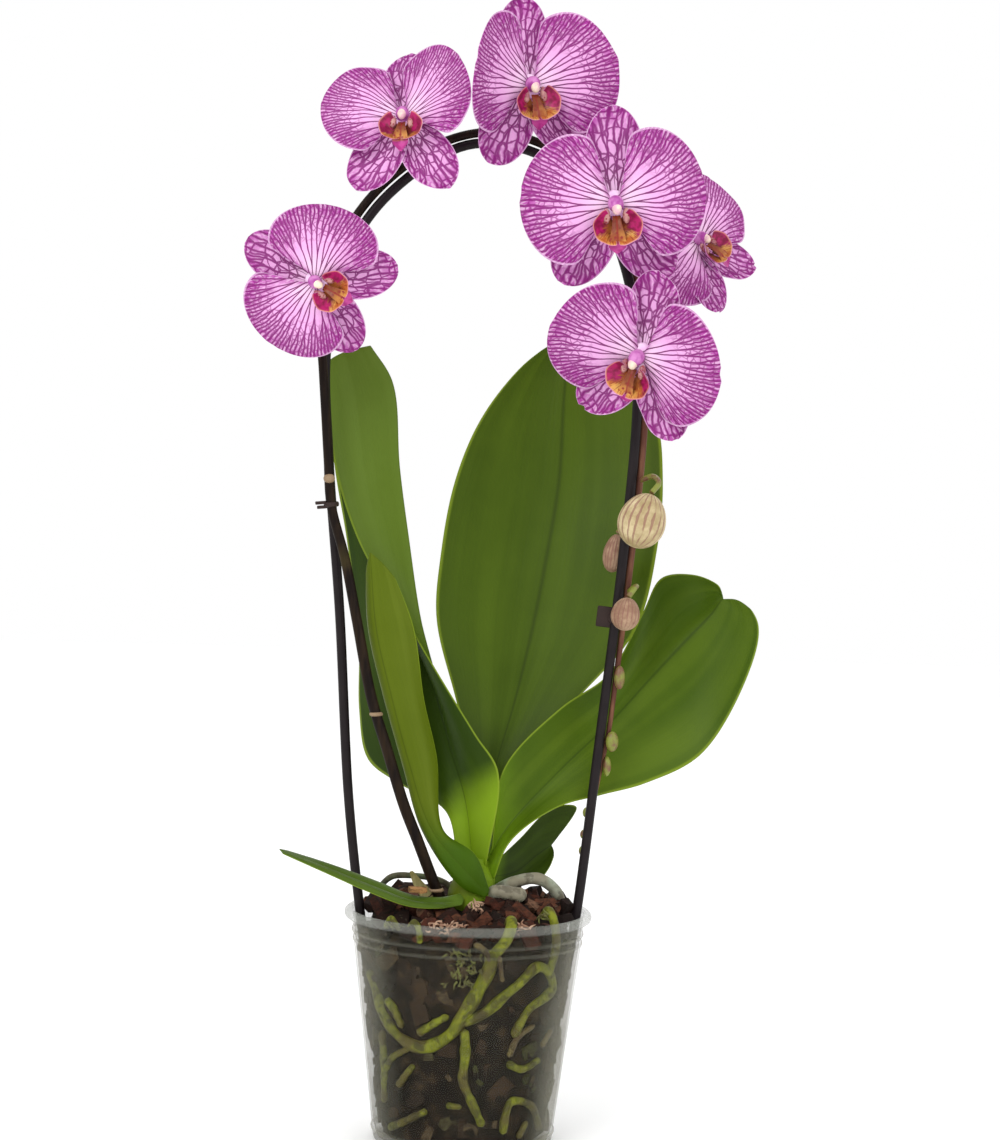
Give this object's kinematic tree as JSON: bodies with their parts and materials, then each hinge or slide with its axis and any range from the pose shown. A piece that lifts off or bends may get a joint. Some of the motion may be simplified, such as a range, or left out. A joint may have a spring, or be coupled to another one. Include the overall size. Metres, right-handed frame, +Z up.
{
  "type": "potted orchid",
  "caption": "Potted moth orchid: striped pink blooms and buds on a stalk tied over a black wire arch, broad green leaves and roots in a clear pot of bark.",
  "frame": {"origin": "centre of the pot's flat underside, which stands on the surface", "axes": "+Z up along the pot's axis, +X to the right in the picture along the wire arch's plane, +Y to the back, away from the blooms' faces"},
  "size_m": [0.2516, 0.13, 0.5479],
  "materials": {
    "pot": "clear hazy plastic, slightly scratched, whitish rim",
    "bark": "rough dark bark mix with red-brown chips",
    "root": "yellow-green orchid roots with brown stretches",
    "silver_root": "matte silvery green root skin",
    "crown": "satin yellow-green leaf bases",
    "leaf": "thick dark green leaf, waxy satin, lighter margins",
    "leaf_light": "thick mid green leaf, satin, yellow-green margin",
    "leaf_olive": "thick olive green leaf, satin",
    "stalk": "dark brown-purple flower stalk with tan rings",
    "wire": "black plastic-coated wire, satin",
    "bud": "beige bud with purple-brown stripes, matte",
    "tepal": "pale pink petals with magenta veins, denser at the margins, soft satin",
    "lip": "crimson lip lobes with orange-yellow edges and dark red spots",
    "chip": "orange-brown bark chip, rough",
    "tie": "black plastic clip and tie, satin"
  },
  "bodies": {
    "root": {"pot": "pot", "substrate": "bark", "roots": "root", "aerial_root_1": "silver_root", "aerial_root_2": "silver_root", "aerial_root_3": "silver_root", "crown": "crown", "leaf_tall": "leaf", "leaf_right": "leaf", "leaf_small": "leaf", "leaf_low": "leaf_light", "leaf_left": "leaf_light", "leaf_front": "leaf_olive", "bract": "crown", "bark_chip": "chip", "flower_spike": "stalk", "support_hoop": "wire", "bud_1": "bud", "bud_2": "bud", "bud_3": "bud", "clip_right": "tie", "tie_left": "tie", "bloom_1_tepals": "tepal", "bloom_1_lip": "lip", "bloom_2_tepals": "tepal", "bloom_2_lip": "lip", "bloom_3_tepals": "tepal", "bloom_3_lip": "lip", "bloom_4_tepals": "tepal", "bloom_4_lip": "lip", "bloom_5_tepals": "tepal", "bloom_5_lip": "lip", "bloom_6_tepals": "tepal", "bloom_6_lip": "lip"}
  },
  "joints": []
}
